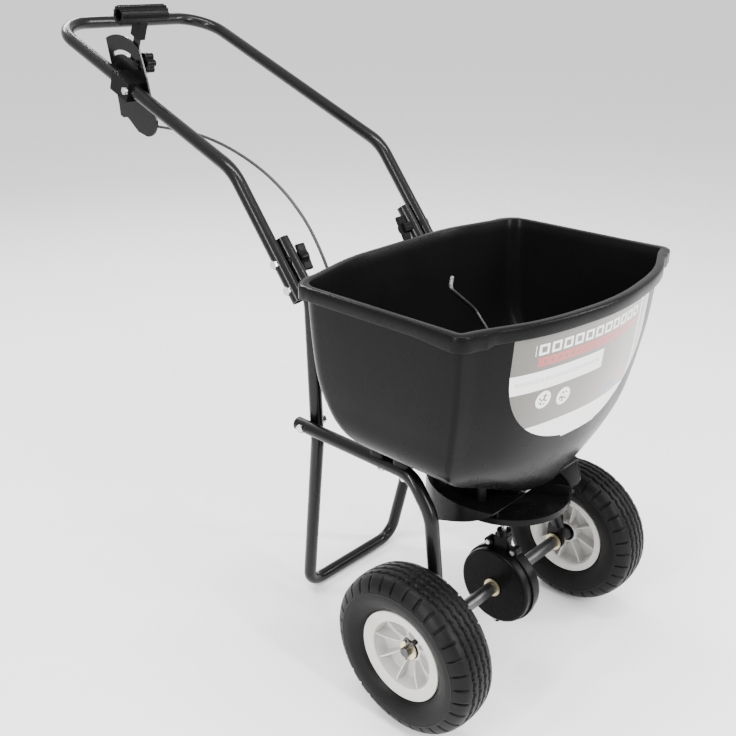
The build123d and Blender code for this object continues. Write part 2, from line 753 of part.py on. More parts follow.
# ---------------------------------------------------------------- frame and handle
def make_leg(name, side):
    """Frame tube: a flattened foot round the axle, an upright, and a run aft under the hopper."""
    x = side * LEG_X
    start = (x, aft(2), 182)
    route = [start, (x, aft(18), 324), (x, aft(58), RUN_Z), (x, aft(302), RUN_Z)]
    leg = run_tube(route, [70, 44], TUBE_R, TUBE_WALL)
    with BuildPart() as whole:
        add(leg.part)
        with BuildSketch(level(158)):
            with Locations((x, AXLE_Y)):
                Ellipse(4.2, 15.5)
        with BuildSketch(Plane(origin=start, z_dir=(0, 16, 142))):
            Circle(TUBE_R)
        loft()
        with BuildSketch(along(x - 4)):
            with Locations((AXLE_Y, AXLE_Z)):
                Circle(15.5)
            with Locations((AXLE_Y, AXLE_Z)):
                Rectangle(31, 30, align=(Align.CENTER, Align.MIN))
        extrude(amount=8)
        with BuildSketch(along(x - 20)):
            with Locations((AXLE_Y, AXLE_Z)):
                Circle(LEG_BUSH_R)
            with Locations((aft(LEG_BOLT_Y), RUN_Z)):
                Circle(HAND_BOLT_R)
        extrude(amount=40, mode=Mode.SUBTRACT)
        with BuildSketch(level(RUN_Z - 20)):
            with Locations(*[spot for spot in FEET if spot[0] * side > 0]):
                Circle(HOPPER_BOLT_R)
        extrude(amount=40, mode=Mode.SUBTRACT)
    finish(whole, name)


def make_stand():
    """Stand: one tube bent to a U, from the handle's bolts down to a bar on the ground."""
    top = on_lower_run(38)
    knee = on_lower_run(-62)
    left = [(STAND_X, aft(top[0]), top[1]), (STAND_X, aft(knee[0]), knee[1]),
            (STAND_X, aft(281), 345), (FOOT_X, aft(345), TUBE_R)]
    right = [(-x, y, z) for x, y, z in reversed(left)]
    stand = run_tube(left + right, [70, 60, 36, 36, 60, 70], TUBE_R, TUBE_WALL)
    with BuildPart() as whole:
        add(stand.part)
        with BuildSketch(along(-200)):
            for reach in HAND_BOLTS:
                station, height = on_lower_run(reach)
                with Locations((aft(station), height)):
                    Circle(HAND_BOLT_R)
            with Locations((aft(LEG_BOLT_Y), RUN_Z)):
                Circle(HAND_BOLT_R)
        extrude(amount=400, mode=Mode.SUBTRACT)
    finish(whole, "stand")


def make_handle():
    """Handle: one tube bent to a U, from the stand's bolts up to the push bar."""
    low = on_lower_run(-66)
    left = [(ARM_X, aft(low[0]), low[1]), (ARM_X, aft(BEND_Y), BEND_Z), (ARM_X, aft(BAR_Y), BAR_Z)]
    right = [(-x, y, z) for x, y, z in reversed(left)]
    handle = run_tube(left + right, [90, 70, 70, 90], TUBE_R, TUBE_WALL)
    with BuildPart() as whole:
        add(handle.part)
        with BuildSketch(along(-200)):
            for reach in HAND_BOLTS:
                station, height = on_lower_run(reach)
                with Locations((aft(station), height)):
                    Circle(HAND_BOLT_R)
        extrude(amount=400, mode=Mode.SUBTRACT)
        with BuildSketch(along(-200)):
            with Locations(CLAMP_BOLTS[0]):
                Circle(HOPPER_BOLT_R)
        extrude(amount=100, mode=Mode.SUBTRACT)
        with BuildSketch(along(-ARM_X)):
            with Locations(CLAMP_BOLTS[1]):
                Circle(HOPPER_BOLT_R)
        extrude(amount=50, mode=Mode.SUBTRACT)
    finish(whole, "handle")


def make_handle_bolts():
    """Four bolts that join handle and stand; the lower two carry lock nuts."""
    with BuildPart() as bolts:
        for side in (-1, 1):
            head = side * (ARM_X + TUBE_R + 4)
            upper, lower = [spot(*on_lower_run(reach)) for reach in HAND_BOLTS]
            add(cross_bolt(head, side * (KNOB_X - 14), upper, HAND_BOLT_R, 7.5, 4))
            add(cross_bolt(head, side * (KNOB_X - 9), lower, HAND_BOLT_R, 7.5, 4))
            add(cross_nut(side * KNOB_X, lower, 0.5 * HAND_BOLT_R, 7.5, -side * 7))
    finish(bolts, "handle_bolts")


def make_spacers():
    """Nylon spacers on the four handle bolts, between arm and stand tube."""
    inner = STAND_X + TUBE_R
    with BuildPart() as spacers:
        for side in (-1, 1):
            for reach in HAND_BOLTS:
                station, height = on_lower_run(reach)
                with BuildSketch(along(side * inner)):
                    with Locations((aft(station), height)):
                        Circle(9)
                        Circle(HAND_BOLT_R, mode=Mode.SUBTRACT)
                extrude(amount=side * (ARM_X - TUBE_R - inner))
    finish(spacers, "handle_spacers")


def make_wing_knob(name, side):
    """Hand knob with two wings on the handle's upper bolt, inboard of the stand tube."""
    station, height = on_lower_run(0)
    with BuildPart() as knob:
        with BuildSketch(along(side * KNOB_X)):
            with Locations((aft(station), height)):
                Circle(10)
        extrude(amount=-side * 17)
        with BuildSketch(along(side * (KNOB_X - 6))):
            with Locations((aft(station), height)):
                SlotOverall(44, 7, rotation=KNOB_TURN)
        extrude(amount=-side * 15)
        with BuildSketch(along(side * KNOB_X)):
            with Locations((aft(station), height)):
                Circle(HAND_BOLT_R + FIT)
        extrude(amount=-side * 14.5, mode=Mode.SUBTRACT)
    finish(knob, name)


def make_frame_bolts():
    """Two bolts with nuts that join the frame tubes' ends to the stand."""
    with BuildPart() as bolts:
        for side in (-1, 1):
            place = spot(LEG_BOLT_Y, RUN_Z)
            add(cross_bolt(side * (LEG_X + TUBE_R + 4), side * (KNOB_X - 9), place, HAND_BOLT_R, 7.5, 4))
            add(cross_nut(side * KNOB_X, place, 0.5 * HAND_BOLT_R, 7.5, -side * 7))
    finish(bolts, "frame_bolts")


def make_hopper_bolts():
    """Four bolts from below, through the frame tubes into the hopper's feet."""
    with BuildPart() as bolts:
        with BuildSketch(level(RUN_Z - TUBE_R)):
            with Locations(*FEET):
                RegularPolygon(6, 6)
        extrude(amount=-4)
        with BuildSketch(level(RUN_Z - TUBE_R)):
            with Locations(*FEET):
                Circle(HOPPER_BOLT_R)
        extrude(amount=2 * TUBE_R + GAP + 12)
    finish(bolts, "hopper_bolts")


# ---------------------------------------------------------------- shut-off control
def make_plate():
    """Control plate: a quadrant with a rounded top, a slot round the pivot and a lobe for the cable."""
    with BuildPart() as plate:
        with BuildSketch(along(PLATE_X)):
            with BuildLine():
                Polyline(spot(682, 936), spot(668, 893), spot(660, 859), spot(648, 824))
                ThreePointArc(spot(648, 824), spot(660, 800), spot(688, 795))
                Polyline(spot(688, 795), spot(706, 799), spot(734, 820), spot(757, 822),
                         spot(758, 840), spot(768, 900), spot(779, 950))
                ThreePointArc(spot(779, 950), spot(742, 957), spot(682, 936))
            make_face()
            with Locations(spot(PIVOT_Y, PIVOT_Z)):
                Circle(HAND_BOLT_R, mode=Mode.SUBTRACT)
            with Locations(*CLAMP_BOLTS):
                Circle(HOPPER_BOLT_R, mode=Mode.SUBTRACT)
        extrude(amount=PLATE_T)
        with BuildSketch(along(PLATE_X)):
            with Locations(spot(PIVOT_Y, PIVOT_Z)):
                Circle(SLOT_R + 3.5)
                Circle(SLOT_R - 3.5, mode=Mode.SUBTRACT)
                with Locations(Rotation(0, 0, SLOT_FROM)):
                    Rectangle(200, 200, align=(Align.MIN, Align.CENTER), mode=Mode.SUBTRACT)
                with Locations(Rotation(0, 0, SLOT_TO + 180)):
                    Rectangle(200, 200, align=(Align.MIN, Align.CENTER), mode=Mode.SUBTRACT)
        extrude(amount=PLATE_T, mode=Mode.SUBTRACT)
    finish(plate, "control_plate")


def make_clamp():
    """Clamp block that holds the control plate on the right arm."""
    slope = degrees(atan2(BAR_Z - BEND_Z, BAR_Y - BEND_Y))
    middle = on_arm(CLAMP_Y)
    tube_line = Plane(origin=(-ARM_X, *middle), z_dir=(0, BAR_Y - BEND_Y, BAR_Z - BEND_Z))
    with BuildPart() as clamp:
        with BuildSketch(along(CLAMP_OUT)):
            with Locations((middle[0], middle[1] - 2)):
                Rectangle(50, 32, rotation=slope)
        extrude(amount=PLATE_X - CLAMP_OUT)
        with BuildSketch(tube_line):
            Circle(TUBE_R)
        extrude(amount=50, both=True, mode=Mode.SUBTRACT)
        with BuildSketch(along(CLAMP_OUT)):
            with Locations(CLAMP_BOLTS[0]):
                Circle(HOPPER_BOLT_R)
        extrude(amount=40, mode=Mode.SUBTRACT)
        with BuildSketch(along(-ARM_X)):
            with Locations(CLAMP_BOLTS[1]):
                Circle(HOPPER_BOLT_R)
        extrude(amount=40, mode=Mode.SUBTRACT)
    finish(clamp, "control_clamp")


def make_clamp_bolts():
    """A bolt with its nut outboard, through plate, arm and clamp, and a screw into the arm's wall."""
    head = PLATE_X + PLATE_T + 3
    with BuildPart() as bolts:
        add(cross_bolt(head, CLAMP_OUT - 7, CLAMP_BOLTS[0], HOPPER_BOLT_R, 5.5, 3))
        add(cross_nut(CLAMP_OUT, CLAMP_BOLTS[0], 0.5 * HOPPER_BOLT_R, 6.5, -5))
        add(cross_bolt(head, -ARM_X, CLAMP_BOLTS[1], HOPPER_BOLT_R, 5.5, 3))
    finish(bolts, "clamp_bolts")


def make_pivot_bolt():
    """Bolt that the lever turns on, with its head outboard of the plate and a nut inboard."""
    nut_x = LEVER_X + LEVER_T + GAP
    place = spot(PIVOT_Y, PIVOT_Z)
    with BuildPart() as bolt:
        add(cross_bolt(PLATE_X - 4, nut_x + 7, place, HAND_BOLT_R, 7, 4))
        add(cross_nut(nut_x, place, 0.5 * HAND_BOLT_R, 7, 6))
    finish(bolt, "pivot_bolt")


def make_lever():
    """Lever: a flat bar on the pivot, long arm up to the grip, short arm down to the cable."""
    middle = on_lever((LEVER_BAR - LEVER_SHORT - 8) / 2, LEVER_ANGLE)
    with BuildPart() as lever:
        with BuildSketch(along(LEVER_X)):
            with Locations(spot(*middle)):
                SlotOverall(LEVER_BAR + LEVER_SHORT + 8, 16, rotation=90 + LEVER_ANGLE)
            with Locations(spot(PIVOT_Y, PIVOT_Z)):
                Circle(HAND_BOLT_R + FIT, mode=Mode.SUBTRACT)
            with Locations(spot(*on_lever(-LEVER_SHORT, LEVER_ANGLE))):
                Circle(2, mode=Mode.SUBTRACT)
        extrude(amount=LEVER_T)
    finish(lever, "lever")


def make_grip():
    """Cross grip: a ribbed cylinder across the lever's end, hollow at both ends, with a socket below."""
    crown = on_lever(LEVER_LONG, LEVER_ANGLE)
    stem = on_lever(LEVER_LONG - 21, LEVER_ANGLE)
    middle = LEVER_X + LEVER_T / 2
    bar_mid = on_lever((LEVER_BAR - LEVER_SHORT - 8) / 2, LEVER_ANGLE)
    with BuildPart() as grip:
        with BuildSketch(along(middle - GRIP_LONG / 2)):
            with Locations(spot(*crown)):
                Circle(GRIP_R)
                with PolarLocations(GRIP_R, 12):
                    Circle(1.6)
        extrude(amount=GRIP_LONG)
        for end in (-1, 1):
            with BuildSketch(along(middle + end * GRIP_LONG / 2)):
                with Locations(spot(*crown)):
                    Circle(GRIP_R - 4.5)
            extrude(amount=-end * 16, mode=Mode.SUBTRACT)
        with BuildSketch(along(middle - 7)):
            with Locations(spot(*stem)):
                Rectangle(22, 38, rotation=LEVER_ANGLE)
        extrude(amount=14)
        with BuildSketch(along(LEVER_X)):
            with Locations(spot(*bar_mid)):
                SlotOverall(LEVER_BAR + LEVER_SHORT + 8, 16, rotation=90 + LEVER_ANGLE)
        extrude(amount=LEVER_T, mode=Mode.SUBTRACT)
    finish(grip, "lever_grip")


def make_stop():
    """Rate stop: a bolt through the slot, a collar that the lever meets and a hand knob."""
    station, height = on_lever(SLOT_R, STOP_ANGLE)
    with BuildPart() as stop:
        add(cross_bolt(PLATE_X - 4 - GAP, PLATE_X + 20, spot(station, height), 3.2, 6.2, 4))
        with BuildSketch(along(PLATE_X + PLATE_T + GAP)):
            with Locations(spot(station, height)):
                Circle(6.2)
        extrude(amount=7)
        with BuildSketch(along(PLATE_X + PLATE_T + GAP + 7)):
            with Locations(spot(station, height)):
                Circle(13)
                with PolarLocations(12, 6):
                    Circle(5.5)
        extrude(amount=17)
    finish(stop, "stop_knob")


# ---------------------------------------------------------------- control cable
def bend_radii(points):
    """One radius for each corner, as large as the shorter of its two runs allows."""
    radii = []
    for before, corner, after in zip(points, points[1:], points[2:]):
        arrive = Vector(*corner) - Vector(*before)
        leave = Vector(*after) - Vector(*corner)
        turn = radians(arrive.get_angle(leave))
        shorter = min(arrive.length, leave.length)
        radii.append(0.45 * shorter / (sin(turn / 2) / cos(turn / 2)))
    return radii


CABLE_ROUTE = [(x, aft(y), z) for x, y, z in (
    (-143, 690, 812), (-143, 656, 812), (-137, 610, 811), (-128, 560, 807), (-122, 506, 796),
    (-120, 454, 781), (-119, 406, 762), (-118, 360, 735), (-115, 320, 697), (-111, 293, 652),
    (-106, 274, 602), (-99, 262, 550), (-89, 250, 498), (-74, 240, 450), (-56, 224, 408),
    (-40, 205, 380), (-24, 184, 360), (CABLE_END_X, 162, CABLE_END_Z), (CABLE_END_X, 142, CABLE_END_Z))]


def make_cable():
    """Outer casing of the control cable, from the plate's lobe to the stop behind the gate."""
    radii = bend_radii(CABLE_ROUTE)
    cable = run_tube(CABLE_ROUTE, radii, CABLE_R, 0)
    print("cable radii", [round(radius) for radius in radii])
    print("cable length", round(cable.part.volume / (pi * CABLE_R ** 2), 1))
    finish(cable, "control_cable")


def make_cable_ends():
    """Cable stops: a block on the control plate and a lug on the shroud's roof."""
    head, foot = CABLE_ROUTE[0], CABLE_ROUTE[-1]
    plate_face = PLATE_X + PLATE_T
    lug_z = ROOF_Z + 3
    with BuildPart() as ends:
        with BuildSketch(across(head[1])):
            with Locations((plate_face, head[2])):
                Rectangle(12, 12, align=(Align.MIN, Align.CENTER))
            with Locations((head[0], head[2])):
                Circle(CABLE_BORE, mode=Mode.SUBTRACT)
        extrude(amount=-10)
        with BuildSketch(across(foot[1])):
            with Locations((foot[0], lug_z)):
                Rectangle(14, foot[2] + 7 - lug_z, align=(Align.CENTER, Align.MIN))
            with Locations((foot[0], foot[2])):
                Circle(CABLE_BORE, mode=Mode.SUBTRACT)
        extrude(amount=5)
        with BuildSketch(level(lug_z)):
            with Locations((foot[0], foot[1])):
                Rectangle(14, 30, align=(Align.CENTER, Align.MAX))
        extrude(amount=2.5)
    finish(ends, "cable_stops")


for hand, side in HANDED:
    make_tyre(f"{hand}_tyre", side)
    make_inner_tube(f"{hand}_inner_tube", side)
    make_rim(f"{hand}_rim", side)
    make_valve(f"{hand}_valve", side)
    make_hub_bushes(f"{hand}_hub_bushes", side)
    make_cotter(f"{hand}_cotter", side, COTTER_X)
    make_gearbox_shell(f"{hand}_gearbox_shell", side)
    make_leg(f"{hand}_frame_tube", side)
    make_wing_knob(f"{hand}_wing_knob", side)

for make in (make_axle, make_sleeves, make_washers, make_axle_bushes, make_crown_gear, make_pinion,
             make_gearbox_bushes, make_gearbox_bolts, make_shaft, make_spinner, make_spinner_pin,
             make_stirrer, make_hopper, make_floor_bush, make_gate, make_gate_guides, make_shroud,
             make_shroud_screws, make_stand, make_handle, make_handle_bolts, make_spacers,
             make_frame_bolts, make_hopper_bolts, make_plate, make_clamp, make_clamp_bolts,
             make_pivot_bolt, make_lever, make_grip, make_stop, make_cable, make_cable_ends):
    make()
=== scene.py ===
# %% [markdown]
# # Dressing a walk-behind spreader
# The machine is already designed: its tubes, gears, wheels and joints come in as a fixed frame.
# This lesson puts the looks on it. Round steel tube is good as it is and only needs paint, while
# moulded plastic and rubber get new meshes, because their soft edges and tread are what the eye reads.
# The frame is loaded first, because every size and place below is measured from it.

# %% Load the frame
from math import cos, hypot, radians, sin, tau

import bmesh
import bpy
from mathutils import Matrix, Vector
from mathutils.bvhtree import BVHTree


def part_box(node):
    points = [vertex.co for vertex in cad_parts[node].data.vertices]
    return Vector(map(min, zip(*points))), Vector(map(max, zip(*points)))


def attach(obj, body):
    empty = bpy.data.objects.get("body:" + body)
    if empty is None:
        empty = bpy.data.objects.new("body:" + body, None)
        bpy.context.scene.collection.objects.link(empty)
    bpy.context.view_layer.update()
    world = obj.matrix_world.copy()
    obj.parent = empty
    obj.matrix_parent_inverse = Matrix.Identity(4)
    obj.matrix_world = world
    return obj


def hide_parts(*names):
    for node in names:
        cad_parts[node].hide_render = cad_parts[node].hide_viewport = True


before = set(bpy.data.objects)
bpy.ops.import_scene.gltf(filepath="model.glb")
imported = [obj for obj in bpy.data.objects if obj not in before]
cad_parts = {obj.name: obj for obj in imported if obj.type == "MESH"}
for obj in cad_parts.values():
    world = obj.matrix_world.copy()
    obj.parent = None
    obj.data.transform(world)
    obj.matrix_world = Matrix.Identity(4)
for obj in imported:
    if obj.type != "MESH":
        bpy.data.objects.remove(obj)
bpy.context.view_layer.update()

# %% [markdown]
# The makers' drawing is in millimetres, measured from the axle: across, aft of the axle, and up.
# One small function turns such a place into metres in the frame, so the sizes below stay readable.

# %% Places in millimetres
MM = 0.001
axle_low, axle_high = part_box("axle")
AXLE_Y = (axle_low.y + axle_high.y) / 2
AXLE_Z = (axle_low.z + axle_high.z) / 2


def at(x, aft, up):
    """A place in the frame, from millimetres across, aft of the axle and above the ground."""
    return Vector((x * MM, AXLE_Y + aft * MM, up * MM))


print("axle", round(AXLE_Y, 4), round(AXLE_Z, 4))

# %% [markdown]
# The camera stands at chest height, ahead of the right wheel, and looks down the machine. It could be
# aimed with a constraint, but plain angles say better what it is: turned 47 degrees, tipped 23 down.

# %% Camera
CAMERA_PLACE = (-1069.95, -708.5, 1061.07)
CAMERA_TILT, CAMERA_TURN = 66.59, -46.66  # degrees up from straight down, and round
FOCAL_LENGTH, SENSOR_WIDTH = 45.26, 36
lens = bpy.data.cameras.new("studio_camera")
lens.sensor_width = SENSOR_WIDTH
lens.lens = FOCAL_LENGTH
lens.clip_start = 0.05
camera = bpy.data.objects.new("studio_camera", lens)
camera.location = at(*CAMERA_PLACE)
camera.rotation_euler = (radians(CAMERA_TILT), 0, radians(CAMERA_TURN))
bpy.context.scene.collection.objects.link(camera)
bpy.context.scene.camera = camera
print("camera", [round(value, 3) for value in camera.location])

# %% [markdown]
# The studio is a wide pale floor under a soft dome, so that black parts read against white. Black
# gloss shows only what it reflects, so narrow strip lights stand round the machine: each one draws a
# thin streak along the tubes and a sheen on the bowl. Large boxes would turn the black to grey.

# %% Floor and light
FLOOR_REACH = 70.0
FLOOR_WHITE, FLOOR_ROUGHNESS = 0.94, 0.9
DOME_STRENGTH = 1.25
MIDDLE, REAR = (0, -0.1, 0.5), (0, 0.2, 0.7)
STRIPS = (  # name, width and height in metres, watts, place, what it faces
    ("near_strip", (0.16, 2.2), 70, (-2.4, -0.5, 1.5), MIDDLE),
    ("front_strip", (0.2, 1.8), 76, (-0.3, -2.8, 1.7), MIDDLE),
    ("far_strip", (0.16, 2.0), 60, (1.6, -2.0, 1.9), MIDDLE),
    ("roof_strip", (2.4, 0.25), 100, (-0.3, -0.4, 3.0), MIDDLE),
    ("back_strip", (1.6, 0.3), 55, (0.5, 2.2, 2.2), REAR),
)


def make_light(name, sides, power, place, target):
    """A rectangular soft box that faces a target."""
    light = bpy.data.lights.new(name, "AREA")
    light.shape = "RECTANGLE"
    light.size, light.size_y = sides
    light.energy = power
    box = bpy.data.objects.new(name, light)
    box.location = place
    box.rotation_euler = (Vector(target) - Vector(place)).to_track_quat("-Z", "Y").to_euler()
    bpy.context.scene.collection.objects.link(box)


floor_mesh = bpy.data.meshes.new("studio_floor")
corners = [(x * FLOOR_REACH, y * FLOOR_REACH, 0) for x, y in ((-1, -1), (1, -1), (1, 1), (-1, 1))]
floor_mesh.from_pydata(corners, [], [(0, 1, 2, 3)])
floor = bpy.data.objects.new("studio_floor", floor_mesh)
bpy.context.scene.collection.objects.link(floor)
pale = bpy.data.materials.new("pale_floor")
pale.use_nodes = True
pale_shader = pale.node_tree.nodes["Principled BSDF"]
pale_shader.inputs["Base Color"].default_value = (FLOOR_WHITE, FLOOR_WHITE, FLOOR_WHITE, 1)
pale_shader.inputs["Roughness"].default_value = FLOOR_ROUGHNESS
floor_mesh.materials.append(pale)

for strip in STRIPS:
    make_light(*strip)

world = bpy.data.worlds.new("dome")
world.use_nodes = True
dome = world.node_tree.nodes["Background"]
dome.inputs["Color"].default_value = (1, 1, 1, 1)
dome.inputs["Strength"].default_value = DOME_STRENGTH
bpy.context.scene.world = world

# %% [markdown]
# Finishes are written as sums, the way one would describe them: roughness is a base plus a little
# cloud. A wrapped socket understands plus, minus and times, and adds the Math node for each.
# The usual way is to place every node by hand, which hides the idea behind the wiring.

# %% Shader words
class Wire:
    """An output socket that can be added, multiplied and compared."""

    def __init__(self, finish, socket):
        self.finish = finish
        self.socket = socket

    def math(self, operation, first, second):
        return self.finish.add("ShaderNodeMath", {"operation": operation}, first, second)

    def __add__(self, other):
        return self.math("ADD", self, other)

    def __radd__(self, other):
        return self.math("ADD", other, self)

    def __sub__(self, other):
        return self.math("SUBTRACT", self, other)

    def __rsub__(self, other):
        return self.math("SUBTRACT", other, self)

    def __mul__(self, other):
        return self.math("MULTIPLY", self, other)

    def __rmul__(self, other):
        return self.math("MULTIPLY", other, self)

    def __gt__(self, other):
        return self.math("GREATER_THAN", self, other)

    def __lt__(self, other):
        return self.math("LESS_THAN", self, other)

    def bigger(self, other):
        return self.math("MAXIMUM", self, other)

    def size(self):
        return self.math("ABSOLUTE", self, 0.0)


class Finish:
    """A surface finish in the making, round one Principled shader."""

    def __init__(self, name, **sockets):
        self.material = bpy.data.materials.new(name)
        self.material.use_nodes = True
        self.tree = self.material.node_tree
        self.shader = self.tree.nodes["Principled BSDF"]
        self.set(**sockets)

    def add(self, kind, settings, *inputs, out=0, **named):
        """Place any node: its settings first, then the values or wires of its sockets."""
        node = self.tree.nodes.new(kind)
        for key, value in settings.items():
            setattr(node, key, value)
        for place, value in [*enumerate(inputs), *named.items()]:
            self.feed(node.inputs[place.replace("_", " ") if isinstance(place, str) else place], value)
        return Wire(self, node.outputs[out])

    def feed(self, socket, value):
        """Link a wire to a socket, or set the socket's own value."""
        if isinstance(value, Wire):
            self.tree.links.new(value.socket, socket)
        else:
            socket.default_value = value

    def set(self, **sockets):
        """Feed the shader's sockets, named with underscores for spaces."""
        for name, value in sockets.items():
            self.feed(self.shader.inputs[name.replace("_", " ")], value)

    def place(self):
        """Where on the piece, in metres."""
        return self.add("ShaderNodeTexCoord", {}, out="Object")

    def noise(self, scale, detail=3.0, stretch=(1, 1, 1)):
        """Cloudy noise from 0 to 1; scale is in clouds per metre."""
        spot = self.add("ShaderNodeVectorMath", {"operation": "MULTIPLY"}, self.place(), stretch)
        return self.add("ShaderNodeTexNoise", {}, Vector=spot, Scale=scale, Detail=detail)

    def mix(self, factor, first, second):
        """One colour over another by a factor."""
        node = self.tree.nodes.new("ShaderNodeMix")
        node.data_type = "RGBA"
        for socket, value in zip((node.inputs[0], node.inputs[6], node.inputs[7]), (factor, first, second)):
            self.feed(socket, value)
        return Wire(self, node.outputs[2])

    def bump(self, height, strength, distance):
        """Tilt the surface by a height; distance is the relief in metres."""
        self.set(Normal=self.add("ShaderNodeBump", {}, Strength=strength, Distance=distance, Height=height))


print("shader words ready")

# %% [markdown]
# Tube and plates are powder coated in gloss black. Powder melts into a faint orange-peel skin, so the
# highlights have a soft uneven edge. A bump of fine noise does that, and the roughness drifts with a
# wider noise as if hands had dulled it in places.

# %% Gloss black paint
def gloss_black():
    paint = Finish("gloss_black_paint", Base_Color=(0.0026, 0.0026, 0.0028, 1), Coat_Roughness=0.06,
                   Coat_Weight=0.12, Specular_IOR_Level=0.16)
    paint.set(Roughness=0.20 + 0.16 * paint.noise(14))
    paint.bump(paint.noise(420, 1.0), 0.10, 0.0004)
    return paint.material


# %% [markdown]
# The bowl, shroud and disc are moulded from black plastic with a satin skin. Real mouldings show a
# fine grain, slow waves where the wall cooled, and pale scuffs. Four noises of different size do it.

# %% Moulded black plastic
def moulded_black(name, tone, rough):
    skin = Finish(name, Specular_IOR_Level=0.07)
    dust = skin.noise(9, 5.0)
    skin.set(Base_Color=skin.mix(dust, (tone, tone, tone * 1.05, 1), (tone * 1.9, tone * 1.9, tone * 2.0, 1)),
             Roughness=rough + 0.14 * skin.noise(30, 4.0))
    grain = 0.7 * skin.noise(1500, 2.0) + 0.3 * skin.noise(60, 2.0)
    skin.bump(grain, 0.16, 0.0005)
    return skin.material


# %% [markdown]
# Tyre rubber is nearly black, dull, and never even: it carries a grey bloom and dust. Its base colour
# moves between two dark greys with a cloud noise, and fine pits break up what little shine there is.

# %% Rubber
def tyre_rubber():
    rubber = Finish("tyre_rubber", Specular_IOR_Level=0.10)
    bloom = rubber.noise(22, 6.0)
    rubber.set(Base_Color=rubber.mix(bloom, (0.0030, 0.0030, 0.0031, 1), (0.0070, 0.0068, 0.0066, 1)),
               Roughness=0.30 + 0.20 * rubber.noise(70, 3.0))
    rubber.bump(rubber.noise(900, 3.0), 0.25, 0.0005)
    return rubber.material


def soft_rubber():
    rubber = Finish("soft_rubber", Base_Color=(0.012, 0.012, 0.012, 1))
    rubber.set(Roughness=0.40 + 0.2 * rubber.noise(60, 3.0))
    rubber.bump(rubber.noise(1400, 2.0), 0.15, 0.0003)
    return rubber.material


# %% [markdown]
# The rims are off-white nylon. Plain white looks like plaster, so the colour is warmed a little, dirt
# gathers in a cloud noise, and a light coat gives the moulded shine.

# %% Off-white nylon
def rim_nylon():
    nylon = Finish("rim_nylon", Coat_Weight=0.15, Coat_Roughness=0.3)
    dirt = nylon.noise(34, 6.0)
    nylon.set(Base_Color=nylon.mix(dirt * dirt * 0.8, (0.54, 0.53, 0.51, 1), (0.32, 0.30, 0.28, 1)),
              Roughness=0.36 + 0.15 * nylon.noise(80, 3.0))
    nylon.bump(nylon.noise(700, 2.0), 0.10, 0.0004)
    return nylon.material


# %% [markdown]
# Fasteners are zinc plated: some bright, some passivated yellow. Plating is a metal with a cloudy
# tint, so the colour itself drifts between two metals and the roughness follows fine brushing.

# %% Plated steel
def plated(name, light, deep, rough):
    metal = Finish(name, Metallic=1.0)
    cloud = metal.noise(160, 4.0)
    metal.set(Base_Color=metal.mix(cloud, (*light, 1), (*deep, 1)), Roughness=rough + 0.2 * metal.noise(400))
    metal.bump(metal.noise(1100, 2.0), 0.08, 0.0003)
    return metal.material


GLOSS = gloss_black()
BOWL = moulded_black("bowl_plastic", 0.0026, 0.19)
MOULDED = moulded_black("moulded_plastic", 0.0026, 0.20)
TYRE = tyre_rubber()
SOFT = soft_rubber()
NYLON_WHITE = rim_nylon()
ZINC = plated("bright_zinc", (0.72, 0.72, 0.73), (0.50, 0.51, 0.53), 0.22)
YELLOW = plated("yellow_zinc", (0.83, 0.68, 0.36), (0.62, 0.60, 0.42), 0.24)
DARK = plated("oiled_steel", (0.13, 0.13, 0.135), (0.06, 0.06, 0.06), 0.30)
print("finishes", len(bpy.data.materials))

# %% [markdown]
# Parts that keep their own shape only change finish. A table from finish to part names is the whole
# job, and it is easy to check against the machine.

# %% Paint the carried-over parts
WEAR = {
    GLOSS: ("left_frame_tube right_frame_tube stand handle control_plate lever").split(),
    MOULDED: ("gate_guides floor_bush handle_spacers control_clamp gearbox_bushes crown_gear pinion_gear "
              "left_hub_bushes right_hub_bushes axle_bushes left_gearbox_shell right_gearbox_shell "
              "left_wing_knob right_wing_knob stop_knob lever_grip shroud spinner").split(),
    SOFT: ("left_inner_tube right_inner_tube left_valve right_valve control_cable").split(),
    ZINC: ("handle_bolts frame_bolts hopper_bolts gearbox_bolts clamp_bolts pivot_bolt shroud_screws "
           "gate spinner_shaft spinner_pin cable_stops").split(),
    DARK: ("axle axle_sleeves stirrer left_cotter right_cotter").split(),
    YELLOW: ("axle_washers",),
}
for finish, names in WEAR.items():
    for name in names:
        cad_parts[name].material_slots[0].material = finish
print("painted", sum(len(names) for names in WEAR.values()), "parts")

# %% [markdown]
# New meshes come from grids of points. A grid is a list of rows, each a ring round the piece; quads
# join each row to the next. Primitive shapes would need cutting up, while a grid goes where it's told.

# %% Mesh words
def grid_faces(rows, columns, start=0, wrap=True):
    """Quads between the rows of a grid whose points were listed row by row."""
    faces = []
    for row in range(rows - 1):
        for column in range(columns if wrap else columns - 1):
            beside = (column + 1) % columns
            low = start + row * columns
            high = low + columns
            faces.append((low + column, low + beside, high + beside, high + column))
    return faces


def make_piece(name, points, faces, finish, body, stands_for=(), crease=40):
    """A mesh object that rides on a body, shaded smooth up to an angle, and stands for CAD nodes."""
    mesh = bpy.data.meshes.new(name)
    mesh.from_pydata([tuple(point) for point in points], [], faces)
    work = bmesh.new()
    work.from_mesh(mesh)
    bmesh.ops.recalc_face_normals(work, faces=work.faces)
    work.to_mesh(mesh)
    work.free()
    mesh.polygons.foreach_set("use_smooth", [True] * len(mesh.polygons))
    mesh.set_sharp_from_angle(angle=radians(crease))
    mesh.materials.append(finish)
    piece = bpy.data.objects.new(name, mesh)
    bpy.context.scene.collection.objects.link(piece)
    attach(piece, body)
    if stands_for:
        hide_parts(*stands_for)
    return piece


